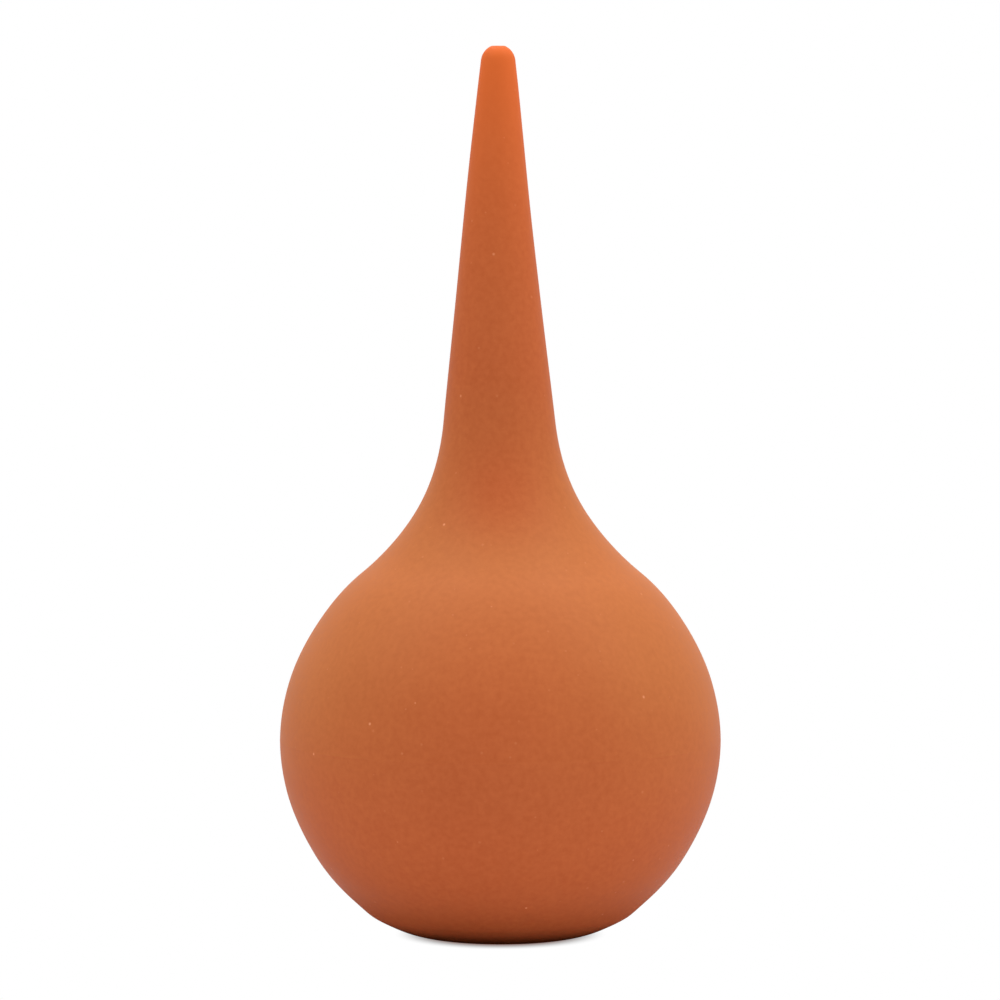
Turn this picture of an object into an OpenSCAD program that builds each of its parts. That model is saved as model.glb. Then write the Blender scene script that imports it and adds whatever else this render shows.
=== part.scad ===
// Ear syringe: a soft rubber bulb that tapers into one long soft tip.
// Every piece is turned about the Z axis. Millimetres, +Z up through the tip,
// and the origin is the centre of the flat foot that the bulb stands on.

/* [Bulb] */
// Largest radius of the bulb, at its equator
bulb_r = 30; // [26:0.5:34]
// How far off the axis the arc of the bulb's side has its centre
bulb_off = 0.7; // [0:0.1:3]
// Wall of the bulb
bulb_wall = 2.2; // [1.6:0.1:3]

/* [Foot] */
// Radius of the flat that the bulb stands on
foot_r = 9; // [7:0.5:11]
// Radius of the soft rounding between that flat and the bulb's side
foot_round = 14; // [6:0.5:16]
// Height of the joint between the pad and the bowl
pad_h = 2.6; // [1.6:0.1:4]
// How far the pad's spigot stands up inside the bowl
pad_spigot_h = 1.2; // [0.5:0.1:2]

/* [Neck] */
// Radius of the hollow curve between the bulb and the tip
neck_round = 30.5; // [20:0.5:36]
// Straight taper above that curve that is still the upper shell's
neck_land = 1.5; // [1:0.5:4]

/* [Tip] */
// Height of the tip's mouth above the table
height = 121.6; // [112:0.2:132]
// Angle between the tip's side and its axis
tip_taper = 6.1; // [5:0.1:7]
// Radius of the domed end of the tip
dome_r = 2.36; // [2:0.02:3]
// Wall of the tip where it meets the neck
tip_root_wall = 2.3; // [1.8:0.1:3]
// Radius of the jet hole
bore_r = 0.75; // [0.5:0.05:1]
// Length of the jet hole's straight wall
bore_len = 8; // [5:0.5:12]
// Rounding of the jet hole's mouth
mouth_round = 0.12; // [0.08:0.02:0.3]

/* [Seam] */
// Height of the strip that backs the seam at the equator
strip_h = 6; // [4:0.5:10]
// Thickness of that strip
strip_t = 0.9; // [0.6:0.1:1.5]
// Film of cement between pieces that are bonded along a curved face
cement = 0.1; // [0.05:0.01:0.15]

/* [Hidden] */
$fn = 96;
arc_step = 3;          // degrees between two points of an arc
least_gap = 0.001;     // points closer than this are one point
rubber = "#b85c33";
rubber_inside = "#9c4a29";

// Bulb: both sides of the wall are arcs about one centre, a little off the axis.
bulb_arc_r = bulb_r - bulb_off;
inner_arc_r = bulb_arc_r - bulb_wall;

// Foot: its rounding touches the table at the flat's edge and the bulb's arc from inside.
foot_c = [foot_r, foot_round];
equator_z = foot_round + sqrt(pow(bulb_arc_r - foot_round, 2) - pow(foot_r - bulb_off, 2));
bulb_c = [bulb_off, equator_z];
foot_a = angle_to(bulb_c, foot_c);

// The joint over the pad cuts the side either on that rounding or on the bulb's arc.
foot_stop = min(foot_a, asin(pad_h / foot_round - 1));
bowl_start = max(foot_a, bulb_a(bulb_arc_r, pad_h));

// Tip: a cone that touches a domed end, and a bore with a rounded mouth.
mouth_c_r = bore_r + mouth_round;
mouth_rise = sqrt(pow(dome_r - mouth_round, 2) - pow(mouth_c_r, 2));
dome_c = [0, height - mouth_round - mouth_rise];
mouth_c = [mouth_c_r, dome_c[1] + mouth_rise];
bore_end = [bore_r, mouth_c[1] - bore_len];

// Side lines are [angle from the axis, distance from the origin].
tip_side = [tip_taper, dome_r + dome_c[1] * sin(tip_taper)];
neck_out = blend_c(tip_side, bulb_arc_r, neck_round);
neck_z = touch_line(neck_out, tip_side, neck_round)[1] + neck_land;
root_out = [line_r(tip_side, neck_z), neck_z];
root_in = [root_out[0] - tip_root_wall, neck_z];
cavity_side = line_through(bore_end, root_in);
neck_round_in = neck_round + bulb_wall;
neck_in = blend_c(cavity_side, inner_arc_r, neck_round_in);

// Angle of the line from point a to point b
function angle_to(a, b) = atan2(b[1] - a[1], b[0] - a[0]);

// Points of an arc about c, from angle a0 to angle a1
function arc(c, r, a0, a1) =
    let (n = max(1, ceil(abs(a1 - a0) / arc_step)))
    [for (i = [0:n]) let (a = a0 + (a1 - a0) * i / n) c + r * [cos(a), sin(a)]];

// The same, or nothing where a1 isn't past a0
function arc_past(c, r, a0, a1) = a1 > a0 ? arc(c, r, a0, a1) : [];

// Angle at which an arc about the bulb's centre reaches height z
function bulb_a(r, z) = asin((z - equator_z) / r);

// Radius of a side line at height z
function line_r(side, z) = (side[1] - z * sin(side[0])) / cos(side[0]);

// Side line through an upper and a lower point
function line_through(top, low) =
    let (a = atan2(low[0] - top[0], top[1] - low[1]))
    [a, top[0] * cos(a) + top[1] * sin(a)];

// Centre of the circle of radius q that touches a side line and the bulb's arc of radius r from outside
function blend_c(side, r, q) =
    let (out = [cos(side[0]), sin(side[0])], up = [-out[1], out[0]])
    let (foot = (side[1] + q) * out, gap = foot - bulb_c)
    foot + (sqrt(pow(gap * up, 2) - gap * gap + pow(r + q, 2)) - gap * up) * up;

// Point where that circle touches the side line
function touch_line(c, side, q) = c - q * [cos(side[0]), sin(side[0])];

// Wall from the equator up to the neck's joint, one side of it
function shell_side(side, r, c, q, top) = concat(
    arc(bulb_c, r, 0, angle_to(bulb_c, c)),
    arc(c, q, 360 + angle_to(c, bulb_c), 180 + side[0]),
    [top]);

function backwards(list) = [for (i = [len(list) - 1:-1:0]) list[i]];

// Outline without points that repeat the one before
function tidy(list) = [for (i = [0:len(list) - 1])
    let (last = list[(i + len(list) - 1) % len(list)])
    if (norm(list[i] - last) > least_gap) list[i]];

module turned(outline) {
    rotate_extrude() polygon(tidy(outline));
}

// Flat foot and thumb rest, with a spigot that stands inside the bowl
module base_pad() {
    spigot_r = bulb_off + inner_arc_r * cos(bulb_a(inner_arc_r, pad_h)) - cement;
    spigot_top = pad_h + pad_spigot_h;
    color(rubber) turned(concat(
        [[0, 0]],
        arc(foot_c, foot_round, -90, foot_stop),
        arc_past(bulb_c, bulb_arc_r, foot_a, bowl_start),
        [[spigot_r, pad_h], [spigot_r, spigot_top], [0, spigot_top]]));
}

// Lower half of the bulb's wall
module lower_bowl() {
    color(rubber) turned(concat(
        arc_past(foot_c, foot_round, foot_stop, foot_a),
        arc(bulb_c, bulb_arc_r, bowl_start, 0),
        arc(bulb_c, inner_arc_r, 0, bulb_a(inner_arc_r, pad_h))));
}

// Strip cemented inside the bulb, over the seam between its halves
module seam_strip() {
    face_r = inner_arc_r - cement;
    back_r = face_r - strip_t;
    face_a = asin(strip_h / 2 / face_r);
    back_a = asin(strip_h / 2 / back_r);
    color(rubber_inside) turned(concat(
        arc(bulb_c, face_r, -face_a, face_a),
        arc(bulb_c, back_r, back_a, -back_a)));
}

// Upper half of the bulb's wall, with the shoulder and the neck
module upper_shell() {
    color(rubber) turned(concat(
        shell_side(tip_side, bulb_arc_r, neck_out, neck_round, root_out),
        backwards(shell_side(cavity_side, inner_arc_r, neck_in, neck_round_in, root_in))));
}

// Soft tip, hollow down its length, with the jet hole at its domed end
module tip() {
    mouth_a = angle_to(dome_c, mouth_c);
    color(rubber) turned(concat(
        [root_out],
        arc(dome_c, dome_r, tip_taper, mouth_a),
        arc(mouth_c, mouth_round, mouth_a, 180),
        [bore_end, root_in]));
}

base_pad();
lower_bowl();
seam_strip();
upper_shell();
tip();
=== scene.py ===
"""Ear syringe: a soft rubber bulb that tapers into one long soft tip.

Every piece is turned about the Z axis from a graded outline, and the whole moulding is then swollen
and bowed a little, as soft rubber is. Outlines are in millimetres, Blender objects in metres.
"""

import logging
import math
from abc import ABC, abstractmethod
from dataclasses import dataclass, replace
from enum import Enum

import bmesh
import bpy
from mathutils import Euler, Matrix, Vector, noise


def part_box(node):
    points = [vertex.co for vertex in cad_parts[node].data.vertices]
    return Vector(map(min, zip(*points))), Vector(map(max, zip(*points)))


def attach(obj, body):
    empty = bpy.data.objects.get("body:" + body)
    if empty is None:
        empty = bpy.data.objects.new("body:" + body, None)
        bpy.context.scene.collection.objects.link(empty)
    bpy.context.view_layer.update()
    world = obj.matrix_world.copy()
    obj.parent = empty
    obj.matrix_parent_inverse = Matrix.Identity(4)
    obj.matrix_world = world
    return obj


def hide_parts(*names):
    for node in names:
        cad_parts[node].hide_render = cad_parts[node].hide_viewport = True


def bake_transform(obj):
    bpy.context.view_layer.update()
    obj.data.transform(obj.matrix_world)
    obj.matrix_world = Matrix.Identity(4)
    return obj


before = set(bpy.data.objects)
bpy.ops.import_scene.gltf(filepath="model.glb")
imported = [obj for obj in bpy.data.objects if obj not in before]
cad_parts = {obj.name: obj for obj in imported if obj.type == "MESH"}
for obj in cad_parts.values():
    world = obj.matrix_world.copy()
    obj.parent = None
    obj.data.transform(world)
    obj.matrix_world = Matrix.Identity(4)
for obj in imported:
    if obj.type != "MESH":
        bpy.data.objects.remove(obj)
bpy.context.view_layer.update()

MM = 0.001  # metres in a millimetre
AXIS_R = 1e-6  # a ring narrower than this is one point on the axis
OUTSIDE, INSIDE = 1.0, 0.0  # what a ring says of the side of the wall that it is on
DOWN_DEG = -90.0
HALF_TURN_DEG = 180.0
LEVEL_DEG = 90.0  # a camera turned this far up from straight down looks level
WHITE = (1.0, 1.0, 1.0, 1.0)
SMOOTH = {"interpolation_type": "SMOOTHSTEP"}
# a mix node set to colours, and its sockets for the share, the two colours and the result
COLOURS = {"data_type": "RGBA"}
MIX_SHARE, MIX_A, MIX_B, MIX_RESULT = 0, 6, 7, 2
LOG = logging.getLogger("ear_syringe")

Table = tuple[tuple[float, float], ...]


class Body(Enum):
    """Bodies of the frame, from the foot up."""

    FOOT_END = "foot_end"
    WAIST = "waist"
    SHOULDER = "shoulder"
    SPOUT = "spout"


class Slot(Enum):
    """Material slots of the record."""

    RUBBER = "rubber"
    STRIP = "strip_rubber"


class Spacing(Enum):
    """Distance between two rings of a turned piece, in millimetres."""

    JOINT = 0.08  # at the edge of a piece, where it meets the next
    MOUTH = 0.05  # round the jet hole's mouth
    SKIN = 0.55  # over the open skin
    LINING = 1.6  # inside, where little is seen


@dataclass(frozen=True)
class Ring:
    """One ring of a turned piece: radius and height in millimetres, and its side of the wall."""

    r: float
    z: float
    skin: float = OUTSIDE


def linear(hex_colour: str) -> tuple[float, float, float, float]:
    """Turn an sRGB hex colour into linear RGBA.

    Args:
        hex_colour: The colour as "#rrggbb".

    Returns:
        Red, green, blue and alpha, each from 0 to 1.
    """
    parts = [int(hex_colour[i : i + 2], 16) / 255 for i in (1, 3, 5)]
    flat = [c / 12.92 if c <= 0.04045 else ((c + 0.055) / 1.055) ** 2.4 for c in parts]
    return flat[0], flat[1], flat[2], 1.0


def add_node(
    tree: bpy.types.NodeTree,
    kind: str,
    settings: dict[str, object] | None = None,
    inputs: dict[str | int, object] | None = None,
) -> bpy.types.Node:
    """Add a node, set it, and link what feeds it.

    Args:
        tree: The node tree that gets the node.
        kind: The node's type name.
        settings: Properties of the node by name.
        inputs: Values or output sockets by the input's name or number.

    Returns:
        The new node.
    """
    node = tree.nodes.new(kind)
    for name, value in (settings or {}).items():
        setattr(node, name, value)
    for key, value in (inputs or {}).items():
        if isinstance(value, bpy.types.NodeSocket):
            tree.links.new(value, node.inputs[key])
        else:
            node.inputs[key].default_value = value
    return node


def eased(table: Table, at: float) -> float:
    """Read a table on a smooth curve through its points, level at both ends.

    Args:
        table: Pairs of place and value, in rising order of place.
        at: The place to read.

    Returns:
        The value there, or the end's value outside the table.
    """
    if at <= table[0][0]:
        return table[0][1]
    if at >= table[-1][0]:
        return table[-1][1]
    i = next(k for k in range(1, len(table)) if at < table[k][0])

    def slope(k: int) -> float:
        """Slope of the curve at one of its points.

        Args:
            k: The point's number in the table.

        Returns:
            The slope, level at both ends.
        """
        if k in (0, len(table) - 1):
            return 0.0
        return (table[k + 1][1] - table[k - 1][1]) / (table[k + 1][0] - table[k - 1][0])

    (x0, y0), (x1, y1) = table[i - 1], table[i]
    span = x1 - x0
    t = (at - x0) / span
    rise = t * t * (3 - 2 * t)
    return (
        y0 + (y1 - y0) * rise
        + span * slope(i - 1) * t * (1 - t) ** 2
        - span * slope(i) * t * t * (1 - t)
    )


def graded(length: float, first: Spacing, middle: Spacing, last: Spacing) -> list[float]:
    """Shares of a length at which rings stand, growing from each end's spacing to the middle's.

    Args:
        length: Length of the stretch in millimetres.
        first: Spacing at its start.
        middle: Spacing away from both ends.
        last: Spacing at its end.

    Returns:
        Shares from 0 to 1, both ends included.
    """
    growth = 1.3  # a gap is at most this much longer than the one before

    def half(spacing: Spacing) -> list[float]:
        """Shares from one end to the middle.

        Args:
            spacing: Spacing at that end.

        Returns:
            Shares from 0 to a half.
        """
        marks, stride = [0.0], spacing.value
        while marks[-1] < length / 2:
            marks.append(marks[-1] + stride)
            stride = min(middle.value, stride * growth)
        return [m / marks[-1] / 2 for m in marks]

    return half(first) + [1 - m for m in reversed(half(last)[:-1])]


@dataclass(frozen=True)
class Arc:
    """Part of a circle in the half plane of radius and height, in millimetres and degrees."""

    r: float
    z: float
    radius: float
    start: float
    end: float

    def rings(
        self,
        first: Spacing,
        last: Spacing,
        middle: Spacing = Spacing.SKIN,
        skin: float = OUTSIDE,
    ) -> list[Ring]:
        """Sample the arc.

        Args:
            first: Spacing at its start.
            last: Spacing at its end.
            middle: Spacing between.
            skin: OUTSIDE or INSIDE.

        Returns:
            Its rings, both ends included.
        """
        length = self.radius * math.radians(abs(self.end - self.start))
        found = []
        for share in graded(length, first, middle, last):
            turn = math.radians(self.start + (self.end - self.start) * share)
            r = self.r + self.radius * math.cos(turn)
            found.append(Ring(r, self.z + self.radius * math.sin(turn), skin))
        return found

    def lining(self) -> list[Ring]:
        """Its rings as a coarser line inside the wall."""
        return self.rings(Spacing.LINING, Spacing.LINING, Spacing.LINING, INSIDE)

    def cut(self, z: float) -> tuple["Arc", "Arc"]:
        """Cut a curve whose centre is further out than it is: its parts below and above a height."""
        turn = HALF_TURN_DEG - math.degrees(math.asin((z - self.z) / self.radius))
        return replace(self, end=turn), replace(self, start=turn)


def straight(a: Ring, b: Ring, first: Spacing, last: Spacing, middle: Spacing) -> list[Ring]:
    """Rings along a straight side from a to b, both included, with the first one's skin."""
    shares = graded(math.hypot(b.r - a.r, b.z - a.z), first, middle, last)
    return [Ring(a.r + (b.r - a.r) * s, a.z + (b.z - a.z) * s, a.skin) for s in shares]


@dataclass(frozen=True)
class Side:
    """The syringe's side, inside and out, in millimetres and degrees.

    The stations come from the frame, and the other sizes are those of the CAD model.
    """

    bulb_r: float
    pad_z: float
    equator_z: float
    neck_z: float
    height: float
    # the bulb's side is an arc whose centre is this far off the axis
    bulb_off: float = 0.7
    wall: float = 2.2
    # the flat that it stands on, and the rounding that leads from it into the bulb
    foot_r: float = 9.0
    foot_round: float = 14.0
    # the hollow curve between the bulb and the tip
    neck_round: float = 30.5
    # the tip: its side's angle from the axis, its domed end, and its wall at the root
    tip_taper: float = 6.1
    dome_r: float = 2.36
    tip_root_wall: float = 2.3
    # the jet hole, its straight length, and the rounding of its mouth
    bore_r: float = 0.75
    bore_len: float = 8.0
    mouth_round: float = 0.12
    # how far to either side of the tip's root the skin gives when the tip bends
    bend_reach: float = 14.0

    @classmethod
    def from_frame(cls) -> "Side":
        """Take the stations from the CAD nodes' boxes.

        Returns:
            The side of the syringe that the frame holds.
        """
        bowl, shell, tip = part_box("lower_bowl"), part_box("upper_shell"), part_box("tip")
        return cls(
            bulb_r=bowl[1].x / MM,
            pad_z=bowl[0].z / MM,
            equator_z=bowl[1].z / MM,
            neck_z=shell[1].z / MM,
            height=tip[1].z / MM,
        )

    @property
    def bend_from(self) -> float:
        """Height at which the tip's bend starts, in the neck."""
        return self.neck_z - self.bend_reach

    @property
    def bend_to(self) -> float:
        """Height at which the tip's bend ends."""
        return self.neck_z + self.bend_reach

    @property
    def arc_r(self) -> float:
        """Radius of the bulb's outer arc."""
        return self.bulb_r - self.bulb_off

    @property
    def inner_r(self) -> float:
        """Radius of the bulb's inner arc."""
        return self.arc_r - self.wall

    def bulb_angle(self, radius: float, z: float) -> float:
        """Angle at which an arc about the bulb's centre reaches a height."""
        return math.degrees(math.asin((z - self.equator_z) / radius))

    def bulb_arc(self, radius: float, start: float, end: float) -> Arc:
        """Arc about the bulb's centre."""
        return Arc(self.bulb_off, self.equator_z, radius, start, end)

    @property
    def foot_angle(self) -> float:
        """Angle at which the foot's rounding meets the bulb's arc."""
        rise, run = self.foot_round - self.equator_z, self.foot_r - self.bulb_off
        return math.degrees(math.atan2(rise, run))

    @property
    def mouth_rise(self) -> float:
        """Height of the mouth's rounding above the dome's centre."""
        return math.sqrt((self.dome_r - self.mouth_round) ** 2 - self.mouth_r**2)

    @property
    def mouth_r(self) -> float:
        """Distance from the axis to the centre of the mouth's rounding."""
        return self.bore_r + self.mouth_round

    @property
    def dome_z(self) -> float:
        """Height of the dome's centre."""
        return self.height - self.mouth_round - self.mouth_rise

    @property
    def outer_line(self) -> tuple[float, float]:
        """The tip's side: its angle from the axis, and its distance from the origin."""
        turn = math.radians(self.tip_taper)
        return turn, self.dome_r + self.dome_z * math.sin(turn)

    @property
    def root_out(self) -> Ring:
        """Outer edge of the joint between the neck and the tip."""
        turn, far = self.outer_line
        return Ring((far - self.neck_z * math.sin(turn)) / math.cos(turn), self.neck_z)

    @property
    def root_in(self) -> Ring:
        """Inner edge of that joint."""
        return Ring(self.root_out.r - self.tip_root_wall, self.neck_z, INSIDE)

    @property
    def bore_end(self) -> Ring:
        """Where the jet hole opens into the hollow of the tip."""
        return Ring(self.bore_r, self.dome_z + self.mouth_rise - self.bore_len, INSIDE)

    @property
    def inner_line(self) -> tuple[float, float]:
        """The hollow's side.

        Returns:
            Its angle from the axis in radians, and its distance from the origin.
        """
        top, low = self.bore_end, self.root_in
        turn = math.atan2(low.r - top.r, top.z - low.z)
        return turn, top.r * math.cos(turn) + top.z * math.sin(turn)

    def neck(self, line: tuple[float, float], radius: float, fillet: float) -> list[Arc]:
        """Bulb's arc and the hollow curve that leads from it into a straight side.

        Args:
            line: The straight side, as outer_line gives it.
            radius: Radius of the bulb's arc.
            fillet: Radius of the hollow curve.

        Returns:
            The two arcs, from the equator up.
        """
        turn, far = line
        out = Vector((math.cos(turn), math.sin(turn)))
        up = Vector((-out.y, out.x))
        centre = Vector((self.bulb_off, self.equator_z))
        foot = (far + fillet) * out
        gap = foot - centre
        along = gap.dot(up)
        reach = math.sqrt(along**2 - gap.length_squared + (radius + fillet) ** 2)
        c = foot + (reach - along) * up
        angle = math.degrees(math.atan2(c.y - centre.y, c.x - centre.x))
        return [
            self.bulb_arc(radius, 0.0, angle),
            Arc(c.x, c.y, fillet, angle + HALF_TURN_DEG, HALF_TURN_DEG + math.degrees(turn)),
        ]


@dataclass(frozen=True)
class Moulding:
    """How the soft moulding departs from its turned shape, the same for every piece, in millimetres."""

    equator_z: float
    # lean of the axis to the right, by height: a soft tip never stands quite straight
    bow: Table = ((0, 0), (32, 0), (51, 0.13), (66, -0.09), (86, -0.3), (101, -0.41), (121, -0.31))
    # fuller and leaner bands of the skin, by height: a soft ridge runs round the foot
    swell: Table = (
        (0, 0), (1.5, 0), (2.2, 0.2), (2.8, 0.33), (3.4, 0.26), (4.3, 0.11), (5.5, 0.06),
        (9, 0.05), (13, -0.03), (20, 0.13), (26.9, 0.2), (35, 0.03), (43, -0.15),
        (51.5, 0.14), (60, -0.07), (70, 0.03), (90, -0.03), (115, 0.05), (121, 0),
    )
    # slow ripples of the skin: their height and span
    ripple: float = 0.03
    ripple_span: float = 15.0
    # below this height they fade out, so that the flat that it stands on stays flat
    ripple_full_z: float = 4.0
    # closer to the axis than this, all of it fades out
    lift_full_r: float = 4.0
    # raised line where the mould's halves met: its height, its half width, and how fast it comes and goes
    parting_height: float = 0.045
    parting_width: float = 0.2
    parting_span: float = 9.0
    # the share of that height about which it comes and goes, and the least share
    parting_mean: float = 0.5
    parting_least: float = 0.12
    # it is left out further off the equator than this many half widths
    parting_reach: float = 4.0
    # shift of its noise, so that it doesn't follow the ripples
    parting_shift: tuple[float, float, float] = (7.3, 1.9, 4.1)

    def moved(self, point: Vector, skin: float) -> Vector:
        """Shift a point of the turned shape to its moulded place.

        Args:
            point: The point in millimetres.
            skin: OUTSIDE or INSIDE.

        Returns:
            The moved point in millimetres.
        """
        r = math.hypot(point.x, point.y)
        lean = eased(self.bow, point.z)
        if r < AXIS_R:
            return Vector((point.x + lean, point.y, point.z))
        lift = eased(self.swell, point.z)
        standing = min(1.0, point.z / self.ripple_full_z)
        lift += self.ripple * standing * noise.noise(point / self.ripple_span)
        near = (point.z - self.equator_z) / self.parting_width
        if skin and abs(near) < self.parting_reach:
            place = point / self.parting_span + Vector(self.parting_shift)
            share = max(self.parting_least, self.parting_mean + noise.noise(place))
            lift += skin * self.parting_height * share * math.exp(-near * near)
        grow = (r + lift * min(1.0, r / self.lift_full_r)) / r
        return Vector((point.x * grow + lean, point.y * grow, point.z))


@dataclass
class TurnedPiece(ABC):
    """A rubber piece turned about the syringe's axis."""

    side: Side
    moulding: Moulding
    name: str = ""
    node: str = ""
    slot: Slot = Slot.RUBBER
    segments: int = 160
    # an edge that folds by more than this stays crisp
    sharp_deg: float = 32.0
    obj: bpy.types.Object | None = None

    @abstractmethod
    def outline(self) -> list[Ring]:
        """Outline of the piece, closed, or from axis to axis."""

    @abstractmethod
    def join(self) -> None:
        """Tie the piece to the bodies that it moves with."""

    def build(self) -> None:
        """Turn the outline into a mesh, mould it, and stand it for its CAD node."""
        bm = bmesh.new()
        made_at = bm.verts.layers.float_vector.new("made_at")
        rings = [self._ring(bm, made_at, ring) for ring in self.outline()]
        on_axis = len(rings[0]) == 1
        pairs = zip(rings, rings[1:]) if on_axis else zip(rings, rings[1:] + rings[:1])
        for low, high in pairs:
            self._band(bm, low, high)
        bmesh.ops.recalc_face_normals(bm, faces=bm.faces)
        limit = math.radians(self.sharp_deg)
        for face in bm.faces:
            face.smooth = True
        for edge in bm.edges:
            edge.smooth = edge.calc_face_angle(math.pi) < limit
        mesh = bpy.data.meshes.new(self.name)
        bm.to_mesh(mesh)
        bm.free()
        self.obj = bpy.data.objects.new(self.name, mesh)
        bpy.context.scene.collection.objects.link(self.obj)
        self.join()
        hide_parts(self.node)

    def dress(self, finish: "Finish") -> None:
        """Give the piece its finish."""
        self.obj.data.materials.append(finish.material())

    def blend(self, low: Body, high: Body, start: float, end: float) -> None:
        """Bake the piece's place into its mesh."""
        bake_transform(self.obj)

    def _ring(
        self, bm: bmesh.types.BMesh, made_at: bmesh.types.BMLayerItem, ring: Ring
    ) -> list[bmesh.types.BMVert]:
        """Place one ring's vertices.

        Args:
            bm: The mesh that gets them.
            made_at: Layer that keeps each vertex's place before it was moulded.
            ring: The ring.

        Returns:
            The vertices, one alone on the axis.
        """
        count = 1 if ring.r < AXIS_R else self.segments
        verts = []
        for i in range(count):
            turn = 2 * math.pi * i / count
            point = Vector((ring.r * math.cos(turn), ring.r * math.sin(turn), ring.z))
            vert = bm.verts.new(self.moulding.moved(point, ring.skin) * MM)
            vert[made_at] = point * MM
            verts.append(vert)
        return verts

    @staticmethod
    def _band(
        bm: bmesh.types.BMesh, low: list[bmesh.types.BMVert], high: list[bmesh.types.BMVert]
    ) -> None:
        """Join two rings with faces, or a ring with a point on the axis.

        Args:
            bm: The mesh that gets the faces.
            low: One ring's vertices.
            high: The next ring's vertices.
        """
        count = max(len(low), len(high))
        for i in range(count):
            j = (i + 1) % count
            loop = [low[i % len(low)], low[j % len(low)], high[j % len(high)], high[i % len(high)]]
            bm.faces.new(list(dict.fromkeys(loop)))


@dataclass
class FootPad(TurnedPiece):
    """The flat foot and thumb rest, with the spigot that stands inside the bowl."""

    name: str = "foot_pad"
    node: str = "base_pad"
    spigot_h: float = 1.2
    cement: float = 0.1

    def outline(self) -> list[Ring]:
        """From the middle of the foot, round the side, to the middle of the spigot.

        Returns:
            The rings, from axis to axis.
        """
        side = self.side
        foot = Arc(side.foot_r, side.foot_round, side.foot_round, DOWN_DEG, side.foot_angle)
        bulb = side.bulb_arc(side.arc_r, side.foot_angle, side.bulb_angle(side.arc_r, side.pad_z))
        angle = math.radians(side.bulb_angle(side.inner_r, side.pad_z))
        spigot_r = side.bulb_off + side.inner_r * math.cos(angle) - self.cement
        top = side.pad_z + self.spigot_h
        flat = straight(
            Ring(0, 0), Ring(side.foot_r, 0), Spacing.SKIN, Spacing.JOINT, Spacing.SKIN
        )
        return [
            *flat[:-1],
            *foot.rings(Spacing.JOINT, Spacing.SKIN)[:-1],
            *bulb.rings(Spacing.SKIN, Spacing.JOINT),
            Ring(spigot_r, side.pad_z, INSIDE),
            Ring(spigot_r, top, INSIDE),
            Ring(0, top, INSIDE),
        ]

    def join(self) -> None:
        """The pad moves with the foot's end."""
        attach(self.obj, Body.FOOT_END.value)


@dataclass
class Bowl(TurnedPiece):
    """Lower half of the bulb's wall, between the foot and the waist."""

    name: str = "bowl"
    node: str = "lower_bowl"

    def outline(self) -> list[Ring]:
        """Up the outside to the equator, and down the inside.

        Returns:
            The rings, closed.
        """
        side = self.side
        outer = side.bulb_arc(side.arc_r, side.bulb_angle(side.arc_r, side.pad_z), 0.0)
        inner = side.bulb_arc(side.inner_r, 0.0, side.bulb_angle(side.inner_r, side.pad_z))
        return [*outer.rings(Spacing.JOINT, Spacing.JOINT), *inner.lining()]

    def join(self) -> None:
        """The bowl's place is baked into its mesh."""
        self.blend(Body.FOOT_END, Body.WAIST, self.side.pad_z, self.side.equator_z)


@dataclass
class SeamStrip(TurnedPiece):
    """Strip cemented inside the bulb, over the seam between its halves."""

    name: str = "seam_strip_inside"
    node: str = "seam_strip"
    slot: Slot = Slot.STRIP
    strip_h: float = 6.0
    strip_t: float = 0.9
    cement: float = 0.1

    def outline(self) -> list[Ring]:
        """Up the face that is cemented to the wall, and down the back.

        Returns:
            The rings, closed.
        """
        face_r = self.side.inner_r - self.cement
        back_r = face_r - self.strip_t
        face_a = math.degrees(math.asin(self.strip_h / 2 / face_r))
        back_a = math.degrees(math.asin(self.strip_h / 2 / back_r))
        face = self.side.bulb_arc(face_r, -face_a, face_a)
        back = self.side.bulb_arc(back_r, back_a, -back_a)
        return [
            *face.rings(Spacing.SKIN, Spacing.SKIN, Spacing.SKIN, INSIDE),
            *back.rings(Spacing.SKIN, Spacing.SKIN, Spacing.SKIN, INSIDE),
        ]

    def join(self) -> None:
        """The strip moves with the waist."""
        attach(self.obj, Body.WAIST.value)


@dataclass
class Shell(TurnedPiece):
    """Upper half of the bulb's wall with the shoulder, as far up as the neck stays straight."""

    name: str = "shell"
    node: str = "upper_shell"

    def outline(self) -> list[Ring]:
        """Up the outside from the equator to the neck, and down the inside.

        Returns:
            The rings, closed.
        """
        side = self.side
        bulb, hollow = side.neck(side.outer_line, side.arc_r, side.neck_round)
        in_bulb, in_hollow = side.neck(side.inner_line, side.inner_r, side.neck_round + side.wall)
        hollow, in_hollow = (curve.cut(side.bend_from)[0] for curve in (hollow, in_hollow))
        lining = [*in_bulb.lining()[:-1], *in_hollow.lining()]
        return [
            *bulb.rings(Spacing.JOINT, Spacing.SKIN)[:-1],
            *hollow.rings(Spacing.SKIN, Spacing.JOINT),
            *reversed(lining),
        ]

    def join(self) -> None:
        """The shell's place is baked into its mesh."""
        self.blend(Body.WAIST, Body.SHOULDER, self.side.equator_z, self.side.bend_from)


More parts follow.
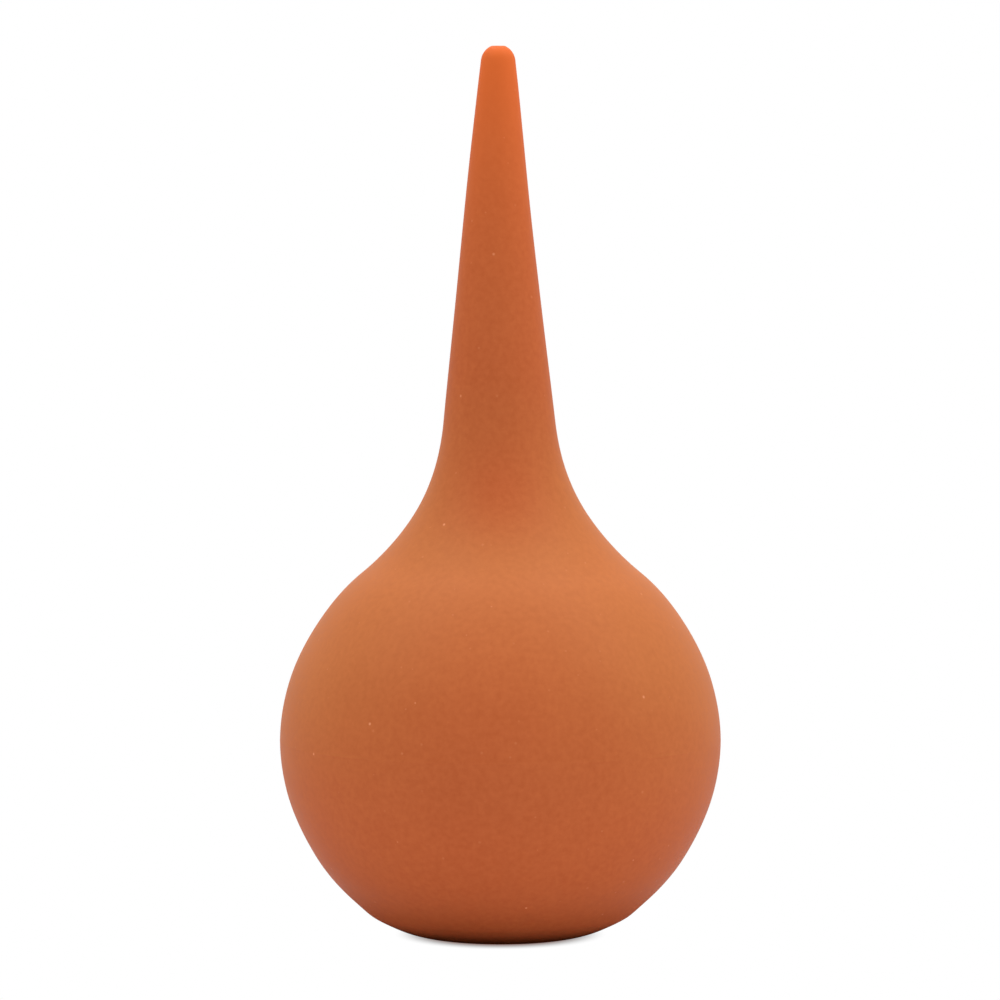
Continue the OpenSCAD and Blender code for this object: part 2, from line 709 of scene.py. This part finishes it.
@dataclass
class Neck(TurnedPiece):
    """The shell's upper end, up to the tip's root."""

    name: str = "neck"
    node: str = "upper_shell"

    def outline(self) -> list[Ring]:
        """Up the outside of the neck to the tip's joint, and down the inside.

        Returns:
            The rings, closed.
        """
        side = self.side
        hollow = side.neck(side.outer_line, side.arc_r, side.neck_round)[1]
        in_hollow = side.neck(side.inner_line, side.inner_r, side.neck_round + side.wall)[1]
        hollow, in_hollow = (curve.cut(side.bend_from)[1] for curve in (hollow, in_hollow))
        flare = hollow.rings(Spacing.JOINT, Spacing.SKIN)
        land = straight(
            flare[-1], side.root_out, Spacing.SKIN, Spacing.JOINT, Spacing.SKIN
        )
        return [*flare[:-1], *land, side.root_in, *reversed(in_hollow.lining())]

    def join(self) -> None:
        """The neck's place is baked into its mesh."""
        self.blend(Body.SHOULDER, Body.SPOUT, self.side.bend_from, self.side.bend_to)


@dataclass
class SoftTip(TurnedPiece):
    """Soft tip, hollow down its length, with the jet hole at its domed end."""

    name: str = "soft_tip"
    node: str = "tip"

    def outline(self) -> list[Ring]:
        """Up the outside, over the dome into the jet hole, and down the hollow.

        Returns:
            The rings, closed.
        """
        side = self.side
        mouth = math.degrees(math.atan2(side.mouth_rise, side.mouth_r))
        dome = Arc(0, side.dome_z, side.dome_r, side.tip_taper, mouth)
        lip_z = side.dome_z + side.mouth_rise
        lip = Arc(side.mouth_r, lip_z, side.mouth_round, mouth, HALF_TURN_DEG)
        cone_end = dome.rings(Spacing.SKIN, Spacing.SKIN)[0]
        lip_rings = lip.rings(Spacing.MOUTH, Spacing.MOUTH, Spacing.MOUTH)
        bore = straight(
            lip_rings[-1], side.bore_end, Spacing.MOUTH, Spacing.LINING, Spacing.LINING
        )
        hollow = straight(
            side.bore_end, side.root_in, Spacing.LINING, Spacing.LINING, Spacing.LINING
        )
        return [
            *straight(side.root_out, cone_end, Spacing.JOINT, Spacing.SKIN, Spacing.SKIN)[:-1],
            *dome.rings(Spacing.SKIN, Spacing.MOUTH)[:-1],
            *lip_rings[:-1],
            *bore[:-1],
            *hollow,
        ]

    def join(self) -> None:
        """The tip's place is baked into its mesh."""
        self.blend(Body.SHOULDER, Body.SPOUT, self.side.bend_from, self.side.bend_to)


class Finish(ABC):
    """A finish that makes one material and hands it to every piece that wears it."""

    name: str

    @abstractmethod
    def wire(self, tree: bpy.types.NodeTree) -> bpy.types.Node:
        """Lay the material's nodes and return its shader."""

    def material(self) -> bpy.types.Material:
        """Find the finish's material, or make it on first use.

        Returns:
            The material.
        """
        found = bpy.data.materials.get(self.name)
        if found:
            return found
        made = bpy.data.materials.new(self.name)
        made.use_nodes = True
        made.node_tree.nodes.clear()
        shader = self.wire(made.node_tree)
        add_node(made.node_tree, "ShaderNodeOutputMaterial", None, {"Surface": shader.outputs[0]})
        return made


@dataclass(frozen=True)
class WipedPlace:
    """A place on the skin that fingers rub, and its radius, in millimetres."""

    x: float
    y: float
    z: float
    radius: float


@dataclass(frozen=True)
class MouldedRubber(Finish):
    """Natural rubber, coloured in the batch and cured in a blasted mould: satin, warm, faintly mottled."""

    name: str = "natural_rubber_moulded"
    # pigment lies a little unevenly in the batch, so the skin drifts between these two
    deep: str = "#a24c28"
    pale: str = "#b35c34"
    # how far broad patches and small clouds move the skin between them
    patch_mm: float = 18.0
    patch_gain: float = 0.5
    mottle_mm: float = 0.8
    mottle_gain: float = 1.0
    cloud_detail: float = 2.0
    # painted glow: towards its end the tip's wall is thinner and lets light through, and this colour is
    # painted on there in place of that light
    painted_glow: str | None = None
    glow_from_mm: float = 72.0
    glow_to_mm: float = 121.0
    glow_power: float = 2.3
    # partly a yellowish sulphur film, partly painted highlight: it is laid on what faces up, towards the
    # light
    film_and_painted_highlight: str = "#cdb366"
    film_highlight_share: float = 0.11
    # rise of the skin's normal at which the film starts and at which it is full, from -1 down to 1 up
    film_highlight_from: float = -0.6
    film_highlight_full: float = 0.5
    # how far a patch moves the film's edge, on that same scale
    film_highlight_wander: float = 0.35
    # fingers wipe the film off where they hold the bulb and the neck, in front and behind, and the painted
    # highlight goes with it
    wiped: tuple[WipedPlace, ...] = (
        WipedPlace(-1.5, -28.0, 27.0, 32.0),
        WipedPlace(1.5, 28.0, 27.0, 32.0),
        WipedPlace(-0.5, -10.5, 63.0, 14.0),
        WipedPlace(0.5, 10.5, 63.0, 14.0),
    )
    # how much of the film goes in the middle of such a place
    wiped_share: float = 0.85
    # the tip is washed after each use, so little of the film, and of the painted highlight with it, stays
    # above the neck
    washed_from_mm: float = 60.0
    washed_full_mm: float = 80.0
    washed_share: float = 0.8
    # dust and grains of bloom on the skin: the cell that holds one, and the radius of one
    speck: str = "#e39a70"
    speck_cell_mm: float = 2.4
    speck_least_mm: float = 0.13
    speck_most_mm: float = 0.32
    # most grains lie under the bloom and show only faintly, and few show plainly
    speck_faintest: float = 0.14
    speck_plainest: float = 0.85
    speck_rarity: float = 8.0
    # part of a grain's radius over which it is at its highest, and its height over the mould's grain
    speck_core: float = 0.15
    speck_relief: float = 2.5
    # the mould's blasted grain is near 0.1 mm, drawn coarser so that it shows
    grain_mm: float = 0.26
    grain_depth_mm: float = 0.012
    grain_detail: float = 1.0
    grain_strength: float = 0.6
    ior: float = 1.52
    # the bloom scatters most of the gloss that bare rubber would have
    specular: float = 0.045
    roughness: float = 0.5
    # the clouds drift the roughness by this much, as they go from thin to thick
    roughness_drift: float = 0.1
    cloud_thin: float = 0.2
    cloud_thick: float = 0.8
    # the foot is rubbed quite matt by the table, up to this height
    rubbed_to_mm: float = 9.0
    rubbed_roughness: float = 0.45

    def wire(self, tree: bpy.types.NodeTree) -> bpy.types.Node:
        """Lay the rubber's nodes.

        Args:
            tree: The material's node tree.

        Returns:
            The shader node.
        """
        at = add_node(tree, "ShaderNodeAttribute", {"attribute_name": "made_at"}).outputs["Vector"]
        height = add_node(tree, "ShaderNodeSeparateXYZ", None, {0: at}).outputs["Z"]
        patch, mottle, grain = (
            add_node(
                tree, "ShaderNodeTexNoise", None,
                {"Vector": at, "Scale": 1 / (size_mm * MM), "Detail": detail},
            ).outputs[0]
            for size_mm, detail in (
                (self.patch_mm, self.cloud_detail),
                (self.mottle_mm, self.cloud_detail),
                (self.grain_mm, self.grain_detail),
            )
        )
        film_and_highlight_share = self._film_and_highlight(tree, at, height, patch)
        bead, cover = self._specks(tree, at)
        colour = self._pigment(tree, height, patch, mottle)
        for share, layer in ((film_and_highlight_share, self.film_and_painted_highlight), (cover, self.speck)):
            colour = add_node(
                tree, "ShaderNodeMix", COLOURS, {MIX_SHARE: share, MIX_A: colour, MIX_B: linear(layer)}
            ).outputs[MIX_RESULT]
        relief = add_node(
            tree, "ShaderNodeMath", {"operation": "MULTIPLY_ADD"},
            {0: bead, 1: self.speck_relief, 2: grain},
        ).outputs[0]
        bump = add_node(
            tree, "ShaderNodeBump", None,
            {"Strength": self.grain_strength, "Distance": self.grain_depth_mm * MM, "Height": relief},
        ).outputs[0]
        return add_node(
            tree, "ShaderNodeBsdfPrincipled", None,
            {"Base Color": colour, "Roughness": self._matt(tree, height, mottle), "Normal": bump,
             "IOR": self.ior, "Specular IOR Level": self.specular},
        )

    def _pigment(
        self,
        tree: bpy.types.NodeTree,
        height: bpy.types.NodeSocket,
        patch: bpy.types.NodeSocket,
        mottle: bpy.types.NodeSocket,
    ) -> bpy.types.NodeSocket:
        """Colour of the rubber itself, with a painted glow towards the tip's end in place of light through
        its wall.

        Args:
            tree: The material's node tree.
            height: Height of the place on the skin, in metres.
            patch: Broad clouds, from 0 to 1.
            mottle: Small clouds, from 0 to 1.

        Returns:
            The colour's socket.
        """
        even = 0.5 - (self.mottle_gain + self.patch_gain) / 2  # clouds at 0.5 give the shade midway
        broad = add_node(
            tree, "ShaderNodeMath", {"operation": "MULTIPLY_ADD"},
            {0: patch, 1: self.patch_gain, 2: even},
        ).outputs[0]
        drift = add_node(
            tree, "ShaderNodeMath", {"operation": "MULTIPLY_ADD", "use_clamp": True},
            {0: mottle, 1: self.mottle_gain, 2: broad},
        ).outputs[0]
        pigment = add_node(
            tree, "ShaderNodeMix", COLOURS,
            {MIX_SHARE: drift, MIX_A: linear(self.deep), MIX_B: linear(self.pale)},
        ).outputs[MIX_RESULT]
        if not self.painted_glow:
            return pigment
        # painted glow: the colour is mixed towards a brighter orange up the tip, standing in for light
        # through the wall
        rise = add_node(
            tree, "ShaderNodeMapRange", None,
            {"Value": height, "From Min": self.glow_from_mm * MM, "From Max": self.glow_to_mm * MM},
        ).outputs[0]
        lit = add_node(
            tree, "ShaderNodeMath", {"operation": "POWER"}, {0: rise, 1: self.glow_power}
        ).outputs[0]
        return add_node(
            tree, "ShaderNodeMix", COLOURS, {MIX_SHARE: lit, MIX_A: pigment, MIX_B: linear(self.painted_glow)}
        ).outputs[MIX_RESULT]

    def _film_and_highlight(
        self,
        tree: bpy.types.NodeTree,
        at: bpy.types.NodeSocket,
        height: bpy.types.NodeSocket,
        patch: bpy.types.NodeSocket,
    ) -> bpy.types.NodeSocket:
        """Share of the skin's colour that the yellowish layer takes, part sulphur deposit and part painted
        highlight on what faces up.

        Args:
            tree: The material's node tree.
            at: The place on the skin, in metres.
            height: Its height, in metres.
            patch: Broad clouds, from 0 to 1.

        Returns:
            The share's socket.
        """
        # painted highlight: the yellowish layer follows how far the skin faces up, towards the light
        facing = add_node(tree, "ShaderNodeNewGeometry").outputs["Normal"]
        up = add_node(tree, "ShaderNodeSeparateXYZ", None, {0: facing}).outputs["Z"]
        centred = add_node(
            tree, "ShaderNodeMath", {"operation": "SUBTRACT"}, {0: up, 1: self.film_highlight_wander / 2}
        ).outputs[0]
        wandering = add_node(
            tree, "ShaderNodeMath", {"operation": "MULTIPLY_ADD"},
            {0: patch, 1: self.film_highlight_wander, 2: centred},
        ).outputs[0]
        facing_up_share = add_node(
            tree, "ShaderNodeMapRange", SMOOTH,
            {"Value": wandering, "From Min": self.film_highlight_from, "From Max": self.film_highlight_full,
             "To Max": self.film_highlight_share},
        ).outputs[0]
        return add_node(
            tree, "ShaderNodeMath", {"operation": "MULTIPLY"},
            {0: facing_up_share, 1: self._left(tree, at, height)},
        ).outputs[0]

    def _left(
        self, tree: bpy.types.NodeTree, at: bpy.types.NodeSocket, height: bpy.types.NodeSocket
    ) -> bpy.types.NodeSocket:
        """Share of the yellowish layer, sulphur deposit and painted highlight, that fingers and washing
        have left on the skin, from 0 to 1.

        Args:
            tree: The material's node tree.
            at: The place on the skin, in metres.
            height: Its height, in metres.

        Returns:
            The share's socket.
        """
        share = add_node(
            tree, "ShaderNodeMapRange", SMOOTH,
            {"Value": height, "From Min": self.washed_from_mm * MM,
             "From Max": self.washed_full_mm * MM, "To Min": 1.0, "To Max": 1 - self.washed_share},
        ).outputs[0]
        for place in self.wiped:
            away = add_node(
                tree, "ShaderNodeVectorMath", {"operation": "DISTANCE"},
                {0: at, 1: (place.x * MM, place.y * MM, place.z * MM)},
            ).outputs["Value"]
            kept = add_node(
                tree, "ShaderNodeMapRange", SMOOTH,
                {"Value": away, "From Max": place.radius * MM, "To Min": 1 - self.wiped_share},
            ).outputs[0]
            share = add_node(
                tree, "ShaderNodeMath", {"operation": "MULTIPLY"}, {0: share, 1: kept}
            ).outputs[0]
        return share

    def _specks(
        self, tree: bpy.types.NodeTree, at: bpy.types.NodeSocket
    ) -> tuple[bpy.types.NodeSocket, bpy.types.NodeSocket]:
        """Scatter grains over the skin, each with its own size and plainness.

        Args:
            tree: The material's node tree.
            at: The place on the skin, in metres.

        Returns:
            Sockets of the grains' height, from 0 to 1, and of the share of colour that they take.
        """
        cell = add_node(
            tree, "ShaderNodeTexVoronoi", {"feature": "F1"},
            {"Vector": at, "Scale": 1 / (self.speck_cell_mm * MM)},
        )
        chance = add_node(tree, "ShaderNodeSeparateColor", None, {0: cell.outputs["Color"]})
        size = add_node(
            tree, "ShaderNodeMapRange", None,
            {"Value": chance.outputs[0], "To Min": self.speck_least_mm / self.speck_cell_mm,
             "To Max": self.speck_most_mm / self.speck_cell_mm},
        ).outputs[0]
        core = add_node(
            tree, "ShaderNodeMath", {"operation": "MULTIPLY"}, {0: size, 1: self.speck_core}
        ).outputs[0]
        bead = add_node(
            tree, "ShaderNodeMapRange", SMOOTH,
            {"Value": cell.outputs["Distance"], "From Min": size, "From Max": core},
        ).outputs[0]
        plain = add_node(
            tree, "ShaderNodeMath", {"operation": "POWER"},
            {0: chance.outputs[1], 1: self.speck_rarity},
        ).outputs[0]
        shown = add_node(
            tree, "ShaderNodeMapRange", None,
            {"Value": plain, "To Min": self.speck_faintest, "To Max": self.speck_plainest},
        ).outputs[0]
        cover = add_node(
            tree, "ShaderNodeMath", {"operation": "MULTIPLY"}, {0: bead, 1: shown}
        ).outputs[0]
        return bead, cover

    def _matt(
        self, tree: bpy.types.NodeTree, height: bpy.types.NodeSocket, mottle: bpy.types.NodeSocket
    ) -> bpy.types.NodeSocket:
        """Roughness of the skin, which drifts with the small clouds and rises at the rubbed foot.

        Args:
            tree: The material's node tree.
            height: Height of the place on the skin, in metres.
            mottle: Small clouds, from 0 to 1.

        Returns:
            The roughness's socket.
        """
        drifting = add_node(
            tree, "ShaderNodeMapRange", None,
            {"Value": mottle, "From Min": self.cloud_thin, "From Max": self.cloud_thick,
             "To Min": self.roughness - self.roughness_drift / 2,
             "To Max": self.roughness + self.roughness_drift / 2},
        ).outputs[0]
        rubbed = add_node(
            tree, "ShaderNodeMapRange", SMOOTH,
            {"Value": height, "From Min": self.rubbed_to_mm * MM, "From Max": 0.0,
             "To Max": self.rubbed_roughness},
        ).outputs[0]
        return add_node(
            tree, "ShaderNodeMath", {"operation": "ADD", "use_clamp": True}, {0: drifting, 1: rubbed}
        ).outputs[0]


def seen_ray(tree: bpy.types.NodeTree) -> bpy.types.NodeSocket:
    """Tell the rays that show a background from those that light the object.

    Args:
        tree: The node tree that gets the nodes.

    Returns:
        A socket with 1 for camera, glossy and transmission rays, else 0.
    """
    path = add_node(tree, "ShaderNodeLightPath")
    seen = path.outputs["Is Camera Ray"]
    for other in ("Is Glossy Ray", "Is Transmission Ray"):
        seen = add_node(
            tree, "ShaderNodeMath", {"operation": "MAXIMUM"}, {0: seen, 1: path.outputs[other]}
        ).outputs[0]
    return seen


@dataclass(frozen=True)
class MattPaper(Finish):
    """Uncoated white paper, rolled smooth: quite matt, so it takes the shadow and shows no gloss."""

    name: str = "paper_matt"
    colour: str = "#f2f2f0"
    # share of the paper's own shading that the camera sees near the foot; none further out
    shadow_share: float = 0.9
    shadow_near_mm: float = 9.0
    shadow_far_mm: float = 14.7
    # painted shade: the paper under the foot is coloured dark, so that it throws little light back up
    shade_colour: str = "#202020"
    shade_near_mm: float = 14.5
    shade_far_mm: float = 18.5
    # the flat of the foot is lit through the paper, so that it isn't black from below
    lit_near_mm: float = 9.0
    lit_far_mm: float = 13.0

    def wire(self, tree: bpy.types.NodeTree) -> bpy.types.Node:
        """Lay the paper's nodes: what the camera, mirrored rays and bounced light each find.

        Args:
            tree: The material's node tree.

        Returns:
            The shader node.
        """
        place = add_node(tree, "ShaderNodeNewGeometry")
        far = add_node(
            tree, "ShaderNodeVectorMath", {"operation": "LENGTH"}, {0: place.outputs["Position"]}
        ).outputs["Value"]
        shadow, beyond, opening = (
            add_node(
                tree, "ShaderNodeMapRange", SMOOTH,
                {"Value": far, "From Min": near_mm * MM, "From Max": far_mm * MM,
                 "To Min": at_near, "To Max": at_far},
            ).outputs[0]
            for near_mm, far_mm, at_near, at_far in (
                (self.shadow_near_mm, self.shadow_far_mm, self.shadow_share, 0.0),
                (self.shade_near_mm, self.shade_far_mm, 0.0, 1.0),
                (self.lit_near_mm, self.lit_far_mm, 1.0, 0.0),
            )
        )
        # painted shade: the paper's colour goes to the shade colour under the foot, for bounced and
        # mirrored rays
        painted_shade_tint = add_node(
            tree, "ShaderNodeMix", COLOURS,
            {MIX_SHARE: beyond, MIX_A: linear(self.shade_colour), MIX_B: linear(self.colour)},
        ).outputs[MIX_RESULT]
        matt = add_node(tree, "ShaderNodeBsdfDiffuse", None, {"Color": WHITE}).outputs[0]
        pale = add_node(tree, "ShaderNodeBsdfDiffuse", None, {"Color": painted_shade_tint}).outputs[0]
        white = add_node(tree, "ShaderNodeEmission", None, {"Color": WHITE, "Strength": 1.0}).outputs[0]
        clear = add_node(tree, "ShaderNodeBsdfTransparent").outputs[0]
        shown = add_node(tree, "ShaderNodeMixShader", None, {0: shadow, 1: white, 2: matt}).outputs[0]
        bounce = add_node(
            tree, "ShaderNodeMixShader", None, {0: opening, 1: pale, 2: clear}
        ).outputs[0]
        # mirrored rays find the painted shade near the foot and white further out
        mirrored = add_node(
            tree, "ShaderNodeMixShader", None, {0: beyond, 1: pale, 2: white}
        ).outputs[0]
        reflected = add_node(
            tree, "ShaderNodeMixShader", None, {0: seen_ray(tree), 1: bounce, 2: mirrored}
        ).outputs[0]
        camera_ray = add_node(tree, "ShaderNodeLightPath").outputs["Is Camera Ray"]
        top = add_node(
            tree, "ShaderNodeMixShader", None, {0: camera_ray, 1: reflected, 2: shown}
        ).outputs[0]
        return add_node(
            tree, "ShaderNodeMixShader", None, {0: place.outputs["Backfacing"], 1: top, 2: clear}
        )


@dataclass(frozen=True)
class Lamp:
    """A soft lamp: its place in metres, the side of its square face, and its power in watts."""

    name: str
    place: tuple[float, float, float]
    size: float
    power: float

    def hang(self, aim: Vector) -> bpy.types.Object:
        """Hang the lamp so that it faces a point.

        Args:
            aim: The point that it faces, in metres.

        Returns:
            The lamp's object.
        """
        data = bpy.data.lights.new(self.name, "AREA")
        data.size = self.size
        data.energy = self.power
        obj = bpy.data.objects.new(self.name, data)
        obj.location = self.place
        obj.rotation_euler = (aim - obj.location).to_track_quat("-Z", "Y").to_euler()
        bpy.context.scene.collection.objects.link(obj)
        return obj


@dataclass(frozen=True)
class Studio:
    """Pale floor, plain soft light and the camera, with lengths in metres unless named otherwise."""

    sky: float = 0.52
    paper: MattPaper = MattPaper()
    floor_r: float = 4.0
    floor_sides: int = 96
    # the floor lies this far under the foot, so that the two flats aren't in one plane
    floor_drop_mm: float = 0.03
    aim: tuple[float, float, float] = (0.0, 0.0, 0.05)
    lamps: tuple[Lamp, ...] = (
        Lamp("overhead", (0.0, 0.0, 1.0), 0.9, 5.8),
        Lamp("overhead_back", (0.0, 0.5, 0.95), 0.7, 3.5),
        Lamp("overhead_left", (-0.65, -0.1, 0.9), 0.6, 3.4),
        Lamp("overhead_right", (0.65, -0.1, 0.9), 0.6, 4.3),
        Lamp("right", (1.0, -0.3, 0.3), 0.7, 1.1),
        Lamp("front", (0.0, -1.1, 0.3), 0.7, 0.3),
    )
    camera_place: tuple[float, float, float] = (-0.00006, -0.7, 0.10413)
    camera_pitch_deg: float = 3.63
    camera_near: float = 0.01
    lens_mm: float = 184.68
    sensor_mm: float = 36.0

    def set_up(self) -> None:
        """Lay the floor, light the scene and place the camera."""
        self._floor()
        self._world()
        for lamp in self.lamps:
            lamp.hang(Vector(self.aim))
        self._camera()
        bpy.context.scene.view_settings.view_transform = "Standard"

    def _camera(self) -> None:
        """Place the camera at the photograph's angle."""
        data = bpy.data.cameras.new("camera")
        data.lens = self.lens_mm
        data.sensor_width = self.sensor_mm
        data.clip_start = self.camera_near
        obj = bpy.data.objects.new("camera", data)
        obj.location = self.camera_place
        obj.rotation_euler = Euler((math.radians(LEVEL_DEG - self.camera_pitch_deg), 0.0, 0.0))
        bpy.context.scene.collection.objects.link(obj)
        bpy.context.scene.camera = obj

    def _floor(self) -> None:
        """Lay a plain pale floor that keeps the syringe's shadow and runs out into white."""
        bm = bmesh.new()
        bmesh.ops.create_circle(bm, cap_ends=True, segments=self.floor_sides, radius=self.floor_r)
        mesh = bpy.data.meshes.new("floor")
        bm.to_mesh(mesh)
        bm.free()
        obj = bpy.data.objects.new("floor", mesh)
        obj.location.z = -self.floor_drop_mm * MM
        bpy.context.scene.collection.objects.link(obj)
        mesh.materials.append(self.paper.material())

    def _world(self) -> None:
        """Give the room an even pale light, and show it white."""
        world = bpy.data.worlds.new("room")
        world.use_nodes = True
        tree = world.node_tree
        tree.nodes.clear()
        level = add_node(
            tree, "ShaderNodeMapRange", None,
            {"Value": seen_ray(tree), "To Min": self.sky, "To Max": 1.0},
        ).outputs[0]
        light = add_node(
            tree, "ShaderNodeBackground", None, {"Color": WHITE, "Strength": level}
        ).outputs[0]
        add_node(tree, "ShaderNodeOutputWorld", None, {"Surface": light})
        bpy.context.scene.world = world


def main() -> None:
    """Build the syringe and its studio in order, and report each piece."""
    logging.basicConfig(level=logging.INFO, format="%(name)s: %(message)s")
    side = Side.from_frame()
    moulding = Moulding(side.equator_z)
    rubber = MouldedRubber()
    # the same batch in a thinner wall, with a painted glow towards the end for the light that the wall
    # lets through
    tip_rubber_painted_glow = MouldedRubber(name="natural_rubber_moulded_painted_glow", painted_glow="#cc5e2a")
    # cut from rolled sheet, darker, and roughened for the cement
    strip_rubber = MouldedRubber(
        name="natural_rubber_sheet", deep="#8f4122", pale="#a5502e", roughness=0.62
    )
    dressed: list[tuple[TurnedPiece, Finish]] = [
        (FootPad(side, moulding), rubber),
        (Bowl(side, moulding), rubber),
        (SeamStrip(side, moulding), strip_rubber),
        (Shell(side, moulding), rubber),
        (Neck(side, moulding), rubber),
        (SoftTip(side, moulding), tip_rubber_painted_glow),
    ]
    for piece, finish in dressed:
        piece.build()
        piece.dress(finish)
        LOG.info("%s for %s: %d faces", piece.name, piece.node, len(piece.obj.data.polygons))
    Studio().set_up()


if __name__ == "__main__":
    main()
